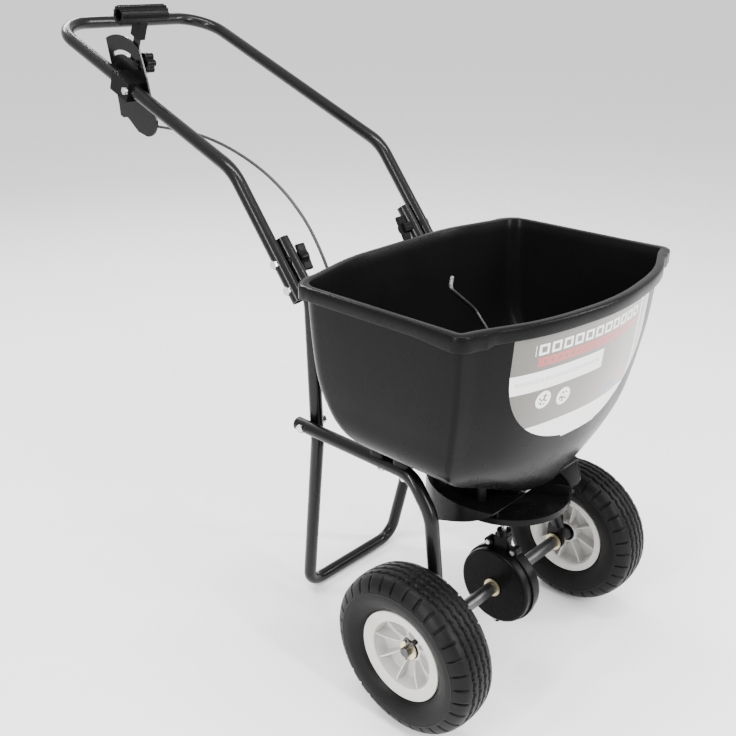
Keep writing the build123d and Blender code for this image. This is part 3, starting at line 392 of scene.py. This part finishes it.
def smooth_line(points, spans):
    """A smooth line through points, with so many steps in each span (a Catmull-Rom curve)."""
    line = []
    padded = [points[0], *points, points[-1]]
    for before, start, end, after in zip(padded, padded[1:], padded[2:], padded[3:]):
        for step in range(spans):
            t = step / spans
            line.append(tuple(
                0.5 * (2 * b + (c - a) * t + (2 * a - 5 * b + 4 * c - d) * t * t
                       + (3 * b - a - 3 * c + d) * t ** 3)
                for a, b, c, d in zip(before, start, end, after)))
    line.append(tuple(points[-1]))
    return line


def ramp(value, low, high):
    """0 below low, 1 above high, and straight between."""
    return min(1.0, max(0.0, (value - low) / (high - low)))


print("mesh words ready")

# %% [markdown]
# A small pneumatic tyre is a ring swept from one cross-section. Its tread is four wavy grooves and a
# row of cuts across each shoulder. They are pressed into the mesh itself: a bump map would leave the
# outline of the tyre smooth, and the outline is where tread shows most.

# %% Tyres
TRACK = 444.0
TREAD_WAVES = 44
SHOULDER_CUTS = 32
TYRE_STEPS = 528
GROOVES, GROOVE_DEPTH, GROOVE_HALF = (-17.5, -5.8, 5.8, 17.5), 3.4, 2.3
CUT_RADIUS, CUT_DEPTH, CUT_HALF = 122, 3.0, 1.9
RIB_RINGS, RIB_HEIGHT = (78.5, 105.5), 0.55
TREAD_FROM, RIBS_TO = 104, 110
half_section = [(26.3, 66), (26.4, 71.6), (30.5, 75.6), (36.3, 83), (40.3, 93), (41.2, 101), (40.4, 108),
                (38.2, 114), (35.2, 118.8), (32.2, 122.3), (27.5, 125.6), (20, 128.0), (10, 129.4)]
section = smooth_line(half_section + [(0, 129.8)] + [(-x, r) for x, r in reversed(half_section)], 6)


def tread_cut(x, turn):
    """Depth of the tread at a place across the tyre, at a turn round it, in millimetres."""
    phase = turn * TREAD_WAVES / tau
    wave = 4.4 * abs(phase % 1 - 0.5) - 1.1
    depth = 0.0
    for groove in GROOVES:
        depth = max(depth, GROOVE_DEPTH * ramp(GROOVE_HALF - abs(x - groove - wave), 0, 0.9))
    pitch = tau * CUT_RADIUS / SHOULDER_CUTS
    along = abs((turn * SHOULDER_CUTS / tau) % 1 - 0.5) * pitch
    band = min(ramp(abs(x), 25.5, 27.5), ramp(40.6 - abs(x), 0, 1.0))
    return max(depth, CUT_DEPTH * band * ramp(CUT_HALF - along, 0, 0.8))


def sidewall_rib(r):
    """Two fine rings moulded on the side wall, in millimetres."""
    return RIB_HEIGHT * sum(ramp(0.9 - abs(r - ring), 0, 0.5) for ring in RIB_RINGS)


def make_tyre(hand, side, body):
    """Tyre casing with pressed tread."""
    centre = side * TRACK / 2
    normals = []
    for before, after in zip([section[0], *section], [*section[1:], section[-1]]):
        run, rise = after[0] - before[0], after[1] - before[1]
        length = hypot(run, rise) or 1
        normals.append((-rise / length, run / length))
    points = []
    for (x, r), (nx, nr) in zip(section, normals):
        outward = -1 if nx * x + nr * (r - 95) < 0 else 1
        for step in range(TYRE_STEPS):
            turn = tau * step / TYRE_STEPS
            cut = tread_cut(x, turn) if r > TREAD_FROM else 0.0
            cut -= sidewall_rib(r) if r < RIBS_TO else 0.0
            reach = r - outward * nr * cut
            across = x - outward * nx * cut
            points.append(at(centre + across, 0, 0) + Vector((0, reach * cos(turn), reach * sin(turn))) * MM
                          + Vector((0, 0, AXLE_Z)))
    faces = grid_faces(len(section), TYRE_STEPS)
    last = (len(section) - 1) * TYRE_STEPS
    for step in range(TYRE_STEPS):
        beside = (step + 1) % TYRE_STEPS
        faces.append((last + step, last + beside, beside, step))
    return make_piece(f"{hand}_tyre_tread", points, faces, TYRE, body, [f"{hand}_tyre"], 50)


WHEELS = (("left", 1, "axle_line"), ("right", -1, "right_wheel"))
for hand, side, body in WHEELS:
    tyre = make_tyre(hand, side, body)
    print(tyre.name, len(tyre.data.polygons), "faces")

# %% [markdown]
# The rim is one nylon moulding: a broad lip, a barrel under the tyre, a dished web and a hub, with
# eight thin ribs. The round part is swept like the tyre and the ribs are added as tapered blades,
# which is how the mould is cut too.

# %% Rims
RIM_STEPS = 160
RIBS = 8
RIB_START = 11.0
rim_section = [  # outboard of the wheel's middle, radius
    (26.6, 66), (26.6, 71.6), (27.4, 72.4), (29.0, 72.6), (30.2, 72.0), (30.5, 70.6), (29.6, 66),
    (28.4, 60), (27.6, 56), (26.8, 54.6), (25.4, 54.2), (12, 53.4), (4.5, 52.4), (2.8, 50.5), (2.4, 47),
    (2.4, 24), (3.2, 21.4), (5.4, 20.2), (5.9, 19.2), (6, 12.02), (-22, 12.02), (-21.9, 18.4),
    (-20.8, 19.4), (-4.4, 21), (-2.6, 23), (-2.5, 52), (-4, 56), (-8, 57.8), (-25, 58.6), (-28.6, 60),
    (-30.2, 62), (-30.5, 70.6), (-30.2, 72), (-29, 72.6), (-27.4, 72.4), (-26.6, 71.6), (-26.6, 66),
    (-24, 64.2), (24, 64.2)]


def wheel_point(centre, side, out, radius, turn):
    """A place on a wheel: outboard of its middle, at a radius and a turn, all from the wheel's centre."""
    return Vector(((centre + side * out) * MM,
                   AXLE_Y + radius * cos(turn) * MM,
                   AXLE_Z + radius * sin(turn) * MM))


def make_rim(hand, side, body):
    """Rim moulding with its ribs."""
    centre = side * TRACK / 2
    points = [wheel_point(centre, side, out, radius, tau * step / RIM_STEPS)
              for out, radius in rim_section for step in range(RIM_STEPS)]
    faces = grid_faces(len(rim_section), RIM_STEPS)
    last = (len(rim_section) - 1) * RIM_STEPS
    faces += [(last + step, last + (step + 1) % RIM_STEPS, (step + 1) % RIM_STEPS, step)
              for step in range(RIM_STEPS)]
    outer = [(18.5, 1.0), (56, 1.0), (56, 24.6), (40, 19.6), (27, 12.4), (18.5, 5.6)]
    inner = [(18.5, -1.0), (58.8, -1.0), (58.8, -23.5), (44, -21.5), (30, -20), (18.5, -19.2)]
    for rib in range(RIBS):
        turn = radians(RIB_START + 360 * rib / RIBS)
        for blade in (outer, inner):
            start = len(points)
            for flank in (-1, 1):
                for radius, out in blade:
                    thick = 1.7 if abs(out) < 3 else 1.25
                    points.append(wheel_point(centre, side, out, radius, turn + flank * thick / radius))
            count = len(blade)
            faces.append(tuple(start + index for index in range(count)))
            faces.append(tuple(start + count + index for index in reversed(range(count))))
            for index in range(count):
                beside = (index + 1) % count
                faces.append((start + index, start + count + index, start + count + beside, start + beside))
    return make_piece(f"{hand}_rim_moulding", points, faces, NYLON_WHITE, body,
                      [f"{hand}_rim"], 35)


for hand, side, body in WHEELS:
    rim = make_rim(hand, side, body)
    print(rim.name, len(rim.data.polygons), "faces")

# %% [markdown]
# The hopper is a deep bowl blow-moulded in one wall: flat sides, a bowed front, a rounded bottom and
# a turned-down rim. Eight level outlines carry the shape. Each corner is rounded, then smooth lines
# run up through the outlines, so the wall has no facets. The inner wall is the outer one moved in
# along its normals, which keeps the thickness even where the bowl turns under.

# %% Hopper outlines
RIM_Z = 663.0
FLOOR_Z = 345.0
WALL = 4.0
HOPPER_LEVELS = (  # height, side, nose, shoulder, flank, tail, bow, back
    (FLOOR_Z, 58, -72, -40, 40, 72, 40, 40),
    (358, 84, -84, -44, 60, 92, 56, 52),
    (392, 150, -102, -52, 92, 124, 96, 80),
    (422, 208, -116, -58, 118, 148, 118, 96),
    (452, 238, -126, -66, 142, 172, 128, 106),
    (500, 245, -138, -74, 172, 196, 134, 114),
    (560, 249, -148, -82, 184, 213, 138, 112),
    (RIM_Z, 253, -156, -88, 190, 226, 142, 114),
)
CORNER_CUTS = (60, 60, 7, 7, 28, 40)  # how far each corner's rounding reaches, nose to tail
CUT_LIMIT = 0.46  # of the side's length, so that two roundings never meet


def outline(side_x, nose, shoulder, flank, tail, bow, back):
    """Rounded plan outline of the bowl at one level, as points across and aft."""
    half = [(0, nose), (bow, nose + 0.30 * (shoulder - nose)), (side_x * 0.90, shoulder - 8),
            (side_x, shoulder), (side_x, flank), (back, tail)]
    corners = half + [(-x, y) for x, y in reversed(half) if x]
    cuts = CORNER_CUTS + tuple(reversed(CORNER_CUTS[1:]))
    line = []
    count = len(corners)
    for index in range(count):
        before, corner, after = (Vector(corners[(index + step) % count]) for step in (-1, 0, 1))
        come, go = before - corner, after - corner
        first = corner + come.normalized() * min(cuts[index], CUT_LIMIT * come.length)
        last = corner + go.normalized() * min(cuts[index], CUT_LIMIT * go.length)
        for step in range(9):
            t = step / 8
            line.append((1 - t) ** 2 * first + 2 * t * (1 - t) * corner + t * t * last)
        next_cut = min(cuts[(index + 1) % count], CUT_LIMIT * go.length)
        arrive = after + (corner - after).normalized() * next_cut
        line += [last.lerp(arrive, step / 4) for step in (1, 2, 3)]
    return line


rings = [[Vector((p.x, p.y, level[0])) for p in outline(*level[1:])] for level in HOPPER_LEVELS]
COLUMNS = len(rings[0])
strands = [smooth_line([tuple(ring[column]) for ring in rings], 8) for column in range(COLUMNS)]
wall = [[Vector(strand[row]) for strand in strands] for row in range(len(strands[0]))]
print("bowl wall", len(wall), "rows of", COLUMNS)

# %% [markdown]
# The rim of such a bowl is turned out and down, so that it is stiff and kind to the hands. It is one
# more set of rows in the same grid: out from the wall, down the skirt's inside, up its outside and
# back over the top. A Solidify modifier could give the wall its thickness, but not this edge.

# %% Hopper shell
LUG = 3.0
FRONT_LUG, BACK_LUG = (218, -92, 15), (215, 190, 13)  # least across, aft, and half length


def wall_normal(row, column):
    """Outward direction of the bowl's wall at a grid place."""
    up = wall[min(row + 1, len(wall) - 1)][column] - wall[max(row - 1, 0)][column]
    round_it = wall[row][(column + 1) % COLUMNS] - wall[row][column - 1]
    return round_it.cross(up).normalized()


def corner_lug(column):
    """How much the rim's skirt stands out at the bowl's four side corners, in millimetres."""
    place = wall[-1][column]
    near = (abs(place.y - aft) < half and abs(place.x) > least for least, aft, half in (FRONT_LUG, BACK_LUG))
    return LUG if any(near) else 0.0


def rim_place(column, out, drop):
    """A place on the rim: outward of the wall's top edge and below the rim's top."""
    normal = wall_normal(len(wall) - 1, column)
    flat = Vector((normal.x, normal.y, 0)).normalized()
    lug = corner_lug(column) if out > 5 else 0
    return wall[-1][column] + flat * (out + lug) - Vector((0, 0, drop + lug * (drop > 15)))


LIP = [(0.3, 9), (1.2, 6.2), (3.6, 5.2), (5.6, 6.4), (6.2, 9), (6.3, 17), (6.7, 18.6), (8.2, 18.8), (9, 17.6),
       (9, 3.4), (8.3, 1.4), (6.6, 0.3), (4, 0), (-1.2, 0), (-3.2, 0.8), (-4, 2.6)]


def make_hopper():
    """Bowl with its outer wall, rim, inner wall and floor, as one closed grid."""
    points = []
    for row in range(len(wall) - 2):
        points += [wall[row][column] for column in range(COLUMNS)]
    for out, drop in LIP:
        points += [rim_place(column, out, drop) for column in range(COLUMNS)]
    for row in reversed(range(1, len(wall) - 2)):
        points += [wall[row][column] - wall_normal(row, column) * WALL for column in range(COLUMNS)]
    inner_floor = [Vector((p.x * 0.95, p.y * 0.95, FLOOR_Z + WALL)) for p in wall[0]]
    points += inner_floor
    rows = len(points) // COLUMNS
    faces = grid_faces(rows, COLUMNS)
    faces.append(tuple(range(COLUMNS)))
    faces.append(tuple((rows - 1) * COLUMNS + column for column in range(COLUMNS)))
    places = [at(p.x, p.y, p.z) for p in points]
    return make_piece("hopper_bowl", places, faces, BOWL, "frame", ["hopper"], 40)


hopper = make_hopper()
print(hopper.name, len(hopper.data.polygons), "faces")

# %% [markdown]
# The floor has two ports that the gate opens and a hole for the shaft. Holes are the one place where
# a Boolean modifier is simpler than a grid. It is applied at once, so the later rays meet a real mesh.

# %% Holes in the floor
PORT_PLACE, PORT_RADIUS, SHAFT_RADIUS = (22, -38), 11, 9
DRILL_LOW, DRILL_HIGH = 340, 352


def bore(piece, holes):
    """Cut upright round holes through a piece: each is across, aft and radius."""
    work = bmesh.new()
    for x, aft, radius in holes:
        drill = Matrix.Translation(at(x, aft, (DRILL_LOW + DRILL_HIGH) / 2))
        bmesh.ops.create_cone(work, cap_ends=True, segments=48, radius1=radius * MM, radius2=radius * MM,
                              depth=(DRILL_HIGH - DRILL_LOW) * MM, matrix=drill)
    mesh = bpy.data.meshes.new("drills")
    work.to_mesh(mesh)
    work.free()
    drills = bpy.data.objects.new("drills", mesh)
    bpy.context.scene.collection.objects.link(drills)
    cutter = piece.modifiers.new("bore", "BOOLEAN")
    cutter.operation = "DIFFERENCE"
    cutter.object = drills
    cutter.solver = "EXACT"
    cut = bpy.data.meshes.new_from_object(piece.evaluated_get(bpy.context.evaluated_depsgraph_get()))
    piece.modifiers.clear()
    piece.data = cut
    bpy.data.objects.remove(drills)


port_x, port_aft = PORT_PLACE
bore(hopper, [(-port_x, port_aft, PORT_RADIUS), (port_x, port_aft, PORT_RADIUS), (0, 0, SHAFT_RADIUS)])
print("bored", len(hopper.data.polygons), "faces")

# %% [markdown]
# Under the bowl stand four moulded pads that rest on the frame tubes, and four posts that take the
# shroud's screws. Each is a short column whose foot is level and whose head follows the wall: a ray
# goes up from every point of its outline and stops just inside the wall.

# %% Hopper feet and posts
PAD_FOOT, PAD_HALF, PAD_X, PAD_AFTS = 389.3, 13, 165, (72, 118)
POST_FOOT, POST_HALF, POST_PLACES = 336.0, 7, ((95, -20), (80, 80))
ROUND, SOFT_SQUARE = 2, 6
COLUMN_STEPS = 32
UP = Vector((0, 0, 1))
shell = BVHTree.FromPolygons([v.co for v in hopper.data.vertices],
                             [tuple(p.vertices) for p in hopper.data.polygons])


def make_column(points, faces, middle, half, foot, squareness):
    """Add a column under the bowl: squareness 2 is round, and more is a soft square."""
    start = len(points)
    for inset, lift in ((1.2, 0.0), (0.0, 1.2), (0.0, None)):
        for step in range(COLUMN_STEPS):
            turn = tau * step / COLUMN_STEPS
            bulge = abs(cos(turn)) ** squareness + abs(sin(turn)) ** squareness
            reach = (half - inset) / bulge ** (1 / squareness)
            place = at(middle[0] + reach * cos(turn), middle[1] + reach * sin(turn), foot)
            if lift is None:
                place = shell.ray_cast(place, UP)[0] + Vector((0, 0, 1.5)) * MM
            else:
                place.z += lift * MM
            points.append(place)
    faces += grid_faces(3, COLUMN_STEPS, start)
    faces += [tuple(start + row * COLUMN_STEPS + step for step in range(COLUMN_STEPS)) for row in (0, 2)]


column_points, column_faces = [], []
for side in (-1, 1):
    for aft in PAD_AFTS:
        make_column(column_points, column_faces, (side * PAD_X, aft), PAD_HALF, PAD_FOOT, SOFT_SQUARE)
    for x, aft in POST_PLACES:
        make_column(column_points, column_faces, (side * x, aft), POST_HALF, POST_FOOT, ROUND)
make_piece("hopper_feet", column_points, column_faces, BOWL, "frame")
print("columns", len(column_faces), "faces")

# %% [markdown]
# The bowl's printed label is a glossy film. An image would be the usual way to print it, but sums of
# place are as sharp from any distance: blocks, discs and bands stand for words and marks that belong
# to nobody. Two upright pale bands on its right are no print but a painted highlight, where the glossy
# film would catch a strip light. Places on the film are in millimetres across and up.

# %% Label print and painted highlight
LEFT_MARK, RIGHT_MARK, MARK_OUT, MARK_IN = (-122, 545), (-84, 540), 13, 8
PRINT_WHITE, PRINT_GREY, PRINT_BLACK = (0.78, 0.77, 0.75, 1), (0.42, 0.42, 0.42, 1), (0.10, 0.10, 0.10, 1)
PRINT_RED, PRINT_DEEP_RED, PRINT_BLUE = (0.55, 0.035, 0.03, 1), (0.50, 0.05, 0.05, 1), (0.05, 0.10, 0.33, 1)


def label_print_and_sheen():
    """Printed film: a dark field, lighter to the right, with white and red bars, two discs and pale bands;
    two upright pale bands on its right are a painted highlight.
    """
    film = Finish("label_film", Roughness=0.22, Coat_Weight=0.6, Coat_Roughness=0.05)
    spot = film.add("ShaderNodeSeparateXYZ", {}, Vector=film.place())
    x = Wire(film, spot.socket) * 1000
    up = Wire(film, spot.socket.node.outputs[2]) * 1000

    def span(value, low, high):
        return (value > low) * (value < high)

    def marks(low, high, left, right, pitch, gap):
        """A row of blocks, like letters too far off to read."""
        step = film.add("ShaderNodeMath", {"operation": "FRACT"}, x * (1 / pitch) + 40)
        stroke = ((step - (1 + gap) / 2).size() > 0.26 * (1 - gap)).bigger(
            (up - (low + high) / 2).size() > 0.27 * (high - low))
        return span(up, low, high) * span(x, left, right) * (step > gap) * stroke

    def disc(middle, height, radius):
        across = (x - middle) * (x - middle)
        rise = (up - height) * (up - height)
        return (across + rise) < radius * radius

    field = film.mix(film.add("ShaderNodeMapRange", {}, Value=x, From_Min=-160, From_Max=150),
                     (0.085, 0.078, 0.066, 1), (0.23, 0.22, 0.20, 1))
    # Painted highlight: two upright pale bands where the glossy film would reflect a strip light, mixed into
    # the colour.
    painted_sheen = span(x, 96, 104).bigger(span(x, 112, 138) * 0.55)
    colour = film.mix(painted_sheen, field, (0.62, 0.61, 0.59, 1))
    white = marks(613, 628, -148, 84, 21, 0.2).bigger(span(up, 562, 590) * (x < -10))
    white = white.bigger(up < 505).bigger(disc(*LEFT_MARK, MARK_OUT)).bigger(disc(*RIGHT_MARK, MARK_OUT))
    colour = film.mix(white, colour, PRINT_WHITE)
    colour = film.mix(marks(597, 609, -142, 88, 12.5, 0.14), colour, PRINT_RED)
    colour = film.mix(marks(574, 579, -172, -18, 8, 0.3), colour, PRINT_GREY)
    colour = film.mix(marks(514, 524, 20, 52, 11, 0.1), colour, PRINT_BLUE)
    colour = film.mix(marks(518, 528, 54, 84, 11, 0.1), colour, PRINT_DEEP_RED)
    inner = disc(*LEFT_MARK, MARK_IN).bigger(disc(*RIGHT_MARK, MARK_IN)) * (film.noise(230, 1.0) > 0.52)
    colour = film.mix(inner, colour, PRINT_BLACK)
    film.set(Base_Color=colour)
    film.bump(film.noise(40, 3.0), 0.12, 0.0008)
    return film.material


LABEL = label_print_and_sheen()
print("print", len(LABEL.node_tree.nodes), "nodes")

# %% [markdown]
# The label is wrapped round the bowl's front. It's a thin sheet shaped like a U, dropped on to the
# bowl by casting a ray at the wall from each of its points, so it follows every curve. A flat plane
# with a Shrinkwrap modifier would stretch where the bowl turns under.

# %% Label sheet
LABEL_MIDDLE, LABEL_HALF = -22, 158
LABEL_LOW, LABEL_TURN, LABEL_TOP = 466, 598, 641  # its foot, where the U's legs begin, and its top


def make_label():
    """U-shaped sheet that lies on the front of the bowl."""
    rows, columns = 60, 81
    points = []
    for row in range(rows):
        up = LABEL_LOW + (LABEL_TOP - LABEL_LOW) * (row / (rows - 1)) ** 1.25
        drop = max(0.0, (LABEL_TURN - up) / (LABEL_TURN - LABEL_LOW))
        half = LABEL_HALF * max(0.06, 1 - drop ** 2.4) ** 0.5
        for column in range(columns):
            x = LABEL_MIDDLE + half * (2 * column / (columns - 1) - 1)
            place, normal, _, _ = shell.ray_cast(at(x, -300, up), Vector((0, 1, 0)))
            edge = row in (0, rows - 1) or column in (0, columns - 1)
            points.append(place - Vector((0, 0.1 if edge else 0.7, 0)) * MM)
    return make_piece("front_label", points, grid_faces(rows, columns, wrap=False), LABEL, "frame",
                      crease=60)


label = make_label()
print(label.name, len(label.data.polygons), "faces")
